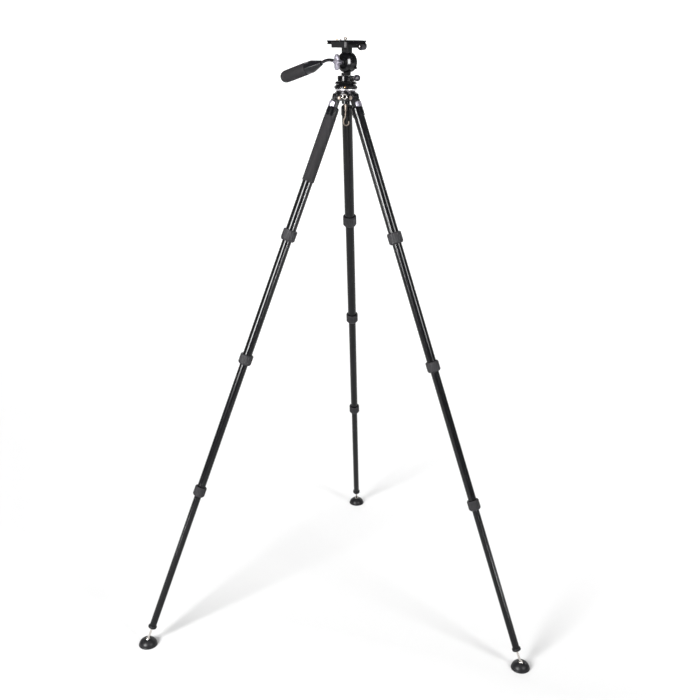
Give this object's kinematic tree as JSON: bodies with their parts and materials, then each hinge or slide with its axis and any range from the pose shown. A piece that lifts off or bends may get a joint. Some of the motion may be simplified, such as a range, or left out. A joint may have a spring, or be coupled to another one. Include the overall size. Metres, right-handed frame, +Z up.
{
  "type": "tripod with fluid head",
  "caption": "Full-height camera tripod with telescoping tube legs, levelling bowl, tilting foot pads and a two-way fluid head with a pan bar and a quick-release plate.",
  "frame": {"origin": "on the floor, under the middle of the footprint's box; the pan axis stands at x = 0, y = -0.1512 m", "axes": "+Z up, the rear leg stands towards +Y, the other two towards -X and +X at the front; the lens side of the head points 40 degrees clockwise from +X seen from above"},
  "size_m": [1.0996, 0.9592, 1.6434],
  "materials": {
    "tube_black": "black anodised, polished, with bright streaks along the tube",
    "cast_black": "black anodised, satin",
    "ring_black": "black anodised, glossy, fine ribs",
    "machined_edge": "black anodised with one bright machined edge",
    "plate_black": "black anodised, satin, with a rubber inlay",
    "bar_black": "gloss black paint",
    "lock_rubber": "ribbed matt rubber over a metal collar",
    "foot_rubber": "smooth satin rubber",
    "grip_foam": "closed-cell foam, matt, fine grain",
    "knob_black": "satin moulded plastic",
    "liner_plastic": "matt moulded plastic",
    "tab_silver": "titanium grey anodised, satin",
    "bolt_champagne": "champagne anodised, satin",
    "steel": "bright turned stainless steel",
    "vial_glass": "clear vial with tinted spirit"
  },
  "bodies": {
    "root": {"shoulder": "cast_black", "level_base": "machined_edge", "rear_hinge_bolt": "bolt_champagne", "left_hinge_bolt": "bolt_champagne", "right_hinge_bolt": "bolt_champagne"},
    "rear_leg": {"rear_leg_head": "cast_black", "rear_tube_1": "tube_black"},
    "rear_section_2": {"rear_tube_2": "tube_black"},
    "rear_section_3": {"rear_tube_3": "tube_black"},
    "rear_section_4": {"rear_tube_4": "tube_black", "rear_foot_stud": "steel"},
    "rear_foot": {"rear_foot_pad": "foot_rubber"},
    "rear_tab": {"rear_angle_tab": "tab_silver"},
    "rear_lock_1": {"rear_twist_lock_1": "lock_rubber"},
    "rear_lock_2": {"rear_twist_lock_2": "lock_rubber"},
    "rear_lock_3": {"rear_twist_lock_3": "lock_rubber"},
    "left_leg": {"left_leg_head": "cast_black", "left_tube_1": "tube_black", "leg_grip": "grip_foam"},
    "left_section_2": {"left_tube_2": "tube_black"},
    "left_section_3": {"left_tube_3": "tube_black"},
    "left_section_4": {"left_tube_4": "tube_black", "left_foot_stud": "steel"},
    "left_foot": {"left_foot_pad": "foot_rubber"},
    "left_tab": {"left_angle_tab": "tab_silver"},
    "left_lock_1": {"left_twist_lock_1": "lock_rubber"},
    "left_lock_2": {"left_twist_lock_2": "lock_rubber"},
    "left_lock_3": {"left_twist_lock_3": "lock_rubber"},
    "right_leg": {"right_leg_head": "cast_black", "right_tube_1": "tube_black"},
    "right_section_2": {"right_tube_2": "tube_black"},
    "right_section_3": {"right_tube_3": "tube_black"},
    "right_section_4": {"right_tube_4": "tube_black", "right_foot_stud": "steel"},
    "right_foot": {"right_foot_pad": "foot_rubber"},
    "right_tab": {"right_angle_tab": "tab_silver"},
    "right_lock_1": {"right_twist_lock_1": "lock_rubber"},
    "right_lock_2": {"right_twist_lock_2": "lock_rubber"},
    "right_lock_3": {"right_twist_lock_3": "lock_rubber"},
    "liner": {"level_liner": "liner_plastic"},
    "level": {"level_ball": "cast_black", "head_stud": "steel"},
    "level_ring": {"level_ring": "ring_black"},
    "hook": {"weight_hook": "bolt_champagne"},
    "pan": {"pan_base": "cast_black", "bubble_vial": "vial_glass", "tilt_bracket": "cast_black", "tilt_axle": "steel"},
    "pan_knob": {"pan_knob": "knob_black"},
    "tilt_lock": {"tilt_lock_ring": "cast_black"},
    "tilt": {"tilt_body": "cast_black"},
    "star_knob": {"star_knob": "tab_silver"},
    "bar": {"pan_bar": "bar_black", "bar_ferrule": "bar_black", "bar_grip": "grip_foam"},
    "jaw": {"clamp_jaw": "cast_black"},
    "clamp_knob": {"clamp_knob": "knob_black"},
    "button": {"release_button": "steel"},
    "plate": {"camera_plate": "plate_black"},
    "camera_screw": {"camera_screw": "steel"}
  },
  "joints": [
    {"name": "rear_leg_splay", "type": "hinge", "parent": "root", "child": "rear_leg", "pos_m": [0, -0.1262, 1.495], "axis": [1, 0, 0], "range_deg": [-20.1, 58.6]},
    {"name": "left_leg_splay", "type": "hinge", "parent": "root", "child": "left_leg", "pos_m": [-0.02165, -0.1637, 1.495], "axis": [-0.5, 0.866, 0], "range_deg": [-20.1, 58.6]},
    {"name": "right_leg_splay", "type": "hinge", "parent": "root", "child": "right_leg", "pos_m": [0.02165, -0.1637, 1.495], "axis": [-0.5, -0.866, 0], "range_deg": [-20.1, 58.6]},
    {"name": "rear_slide_2", "type": "slide", "parent": "rear_leg", "child": "rear_section_2", "axis": [0, 0.3649, -0.9311], "range_m": [-0.321, 0]},
    {"name": "left_slide_2", "type": "slide", "parent": "left_leg", "child": "left_section_2", "axis": [-0.316, -0.1824, -0.9311], "range_m": [-0.321, 0]},
    {"name": "right_slide_2", "type": "slide", "parent": "right_leg", "child": "right_section_2", "axis": [0.316, -0.1824, -0.9311], "range_m": [-0.321, 0]},
    {"name": "rear_slide_3", "type": "slide", "parent": "rear_section_2", "child": "rear_section_3", "axis": [0, 0.3649, -0.9311], "range_m": [-0.362, 0]},
    {"name": "left_slide_3", "type": "slide", "parent": "left_section_2", "child": "left_section_3", "axis": [-0.316, -0.1824, -0.9311], "range_m": [-0.362, 0]},
    {"name": "right_slide_3", "type": "slide", "parent": "right_section_2", "child": "right_section_3", "axis": [0.316, -0.1824, -0.9311], "range_m": [-0.362, 0]},
    {"name": "rear_slide_4", "type": "slide", "parent": "rear_section_3", "child": "rear_section_4", "axis": [0, 0.3649, -0.9311], "range_m": [-0.384, 0]},
    {"name": "left_slide_4", "type": "slide", "parent": "left_section_3", "child": "left_section_4", "axis": [-0.316, -0.1824, -0.9311], "range_m": [-0.384, 0]},
    {"name": "right_slide_4", "type": "slide", "parent": "right_section_3", "child": "right_section_4", "axis": [0.316, -0.1824, -0.9311], "range_m": [-0.384, 0]},
    {"name": "level_tilt_x", "type": "hinge", "parent": "root", "child": "liner", "pos_m": [0, -0.1512, 1.517], "axis": [1, 0, 0], "range_deg": [-5, 5]},
    {"name": "level_tilt_y", "type": "hinge", "parent": "liner", "child": "level", "pos_m": [0, -0.1512, 1.517], "axis": [0, 1, 0], "range_deg": [-5, 5]},
    {"name": "pan_turn", "type": "hinge", "parent": "level", "child": "pan", "pos_m": [0, -0.1512, 1.542], "axis": [0, 0, 1], "continuous": true},
    {"name": "tilt_turn", "type": "hinge", "parent": "pan", "child": "tilt", "pos_m": [0, -0.1512, 1.582], "axis": [0.6428, 0.766, 0], "range_deg": [-50, 60]},
    {"name": "bar_angle", "type": "hinge", "parent": "tilt", "child": "bar", "pos_m": [-0.01006, -0.16319, 1.582], "axis": [-0.6428, -0.766, 0], "range_deg": [-25, 35]},
    {"name": "plate_slide", "type": "slide", "parent": "tilt", "child": "plate", "axis": [0.766, -0.6428, 0], "range_m": [-0.02, 0.02]},
    {"name": "rear_foot_tilt", "type": "hinge", "parent": "rear_section_4", "child": "rear_foot", "pos_m": [0, 0.45361, 0.0155], "axis": [1, 0, 0], "range_deg": [-8, 50]},
    {"name": "left_foot_tilt", "type": "hinge", "parent": "left_section_4", "child": "left_foot", "pos_m": [-0.52378, -0.45361, 0.0155], "axis": [-0.5, 0.866, 0], "range_deg": [-8, 50]},
    {"name": "right_foot_tilt", "type": "hinge", "parent": "right_section_4", "child": "right_foot", "pos_m": [0.52378, -0.45361, 0.0155], "axis": [-0.5, -0.866, 0], "range_deg": [-8, 50]},
    {"name": "clamp_knob_turn", "type": "hinge", "parent": "tilt", "child": "clamp_knob", "pos_m": [0.03873, -0.13149, 1.6215], "axis": [0.6428, 0.766, 0], "range_deg": [0, 900]},
    {"name": "jaw_slide", "type": "slide", "parent": "tilt", "child": "jaw", "axis": [0.6428, 0.766, 0], "range_m": [0, 0.0025]},
    {"name": "star_knob_turn", "type": "hinge", "parent": "tilt", "child": "star_knob", "pos_m": [-0.02121, -0.17648, 1.582], "axis": [-0.6428, -0.766, 0], "range_deg": [0, 900]},
    {"name": "pan_knob_turn", "type": "hinge", "parent": "pan", "child": "pan_knob", "pos_m": [0.03064, -0.17691, 1.5441], "axis": [0.766, -0.6428, 0], "range_deg": [0, 540]},
    {"name": "tilt_lock_turn", "type": "hinge", "parent": "pan", "child": "tilt_lock", "pos_m": [0.00804, -0.14163, 1.582], "axis": [0.6428, 0.766, 0], "range_deg": [0, 75]},
    {"name": "level_ring_turn", "type": "hinge", "parent": "root", "child": "level_ring", "pos_m": [0, -0.1512, 1.521], "axis": [0, 0, 1], "range_deg": [0, 120]},
    {"name": "button_press", "type": "slide", "parent": "tilt", "child": "button", "axis": [-0.766, 0.6428, 0], "range_m": [0, 0.0025], "stiffness_N_per_m": 800, "springref_m": -0.001},
    {"name": "camera_screw_turn", "type": "hinge", "parent": "plate", "child": "camera_screw", "pos_m": [-0.00192, -0.1496, 1.63], "axis": [0, 0, 1], "continuous": true},
    {"name": "hook_swivel", "type": "hinge", "parent": "root", "child": "hook", "pos_m": [0, -0.1512, 1.476], "axis": [0, 0, 1], "continuous": true},
    {"name": "rear_tab_pull", "type": "slide", "parent": "rear_leg", "child": "rear_tab", "axis": [0, 0.9311, 0.3649], "range_m": [0, 0.005], "stiffness_N_per_m": 400, "springref_m": -0.003},
    {"name": "left_tab_pull", "type": "slide", "parent": "left_leg", "child": "left_tab", "axis": [-0.8063, -0.4655, 0.3649], "range_m": [0, 0.005], "stiffness_N_per_m": 400, "springref_m": -0.003},
    {"name": "right_tab_pull", "type": "slide", "parent": "right_leg", "child": "right_tab", "axis": [0.8063, -0.4655, 0.3649], "range_m": [0, 0.005], "stiffness_N_per_m": 400, "springref_m": -0.003},
    {"name": "rear_lock_1_turn", "type": "hinge", "parent": "rear_leg", "child": "rear_lock_1", "pos_m": [0, 0.01099, 1.14492], "axis": [0, 0.3649, -0.9311], "range_deg": [0, 90]},
    {"name": "left_lock_1_turn", "type": "hinge", "parent": "left_leg", "child": "left_lock_1", "pos_m": [-0.14046, -0.2323, 1.14492], "axis": [-0.316, -0.1824, -0.9311], "range_deg": [0, 90]},
    {"name": "right_lock_1_turn", "type": "hinge", "parent": "right_leg", "child": "right_lock_1", "pos_m": [0.14046, -0.2323, 1.14492], "axis": [0.316, -0.1824, -0.9311], "range_deg": [0, 90]},
    {"name": "rear_lock_2_turn", "type": "hinge", "parent": "rear_section_2", "child": "rear_lock_2", "pos_m": [0, 0.14016, 0.81533], "axis": [0, 0.3649, -0.9311], "range_deg": [0, 90]},
    {"name": "left_lock_2_turn", "type": "hinge", "parent": "left_section_2", "child": "left_lock_2", "pos_m": [-0.25233, -0.29688, 0.81533], "axis": [-0.316, -0.1824, -0.9311], "range_deg": [0, 90]},
    {"name": "right_lock_2_turn", "type": "hinge", "parent": "right_section_2", "child": "right_lock_2", "pos_m": [0.25233, -0.29688, 0.81533], "axis": [0.316, -0.1824, -0.9311], "range_deg": [0, 90]},
    {"name": "rear_lock_3_turn", "type": "hinge", "parent": "rear_section_3", "child": "rear_lock_3", "pos_m": [0, 0.28355, 0.44942], "axis": [0, 0.3649, -0.9311], "range_deg": [0, 90]},
    {"name": "left_lock_3_turn", "type": "hinge", "parent": "left_section_3", "child": "left_lock_3", "pos_m": [-0.37651, -0.36858, 0.44942], "axis": [-0.316, -0.1824, -0.9311], "range_deg": [0, 90]},
    {"name": "right_lock_3_turn", "type": "hinge", "parent": "right_section_3", "child": "right_lock_3", "pos_m": [0.37651, -0.36858, 0.44942], "axis": [0.316, -0.1824, -0.9311], "range_deg": [0, 90]}
  ],
  "couplings": [
    {"joint": "clamp_knob_turn", "follows": "jaw_slide", "rad_per_m": 6283.2}
  ]
}
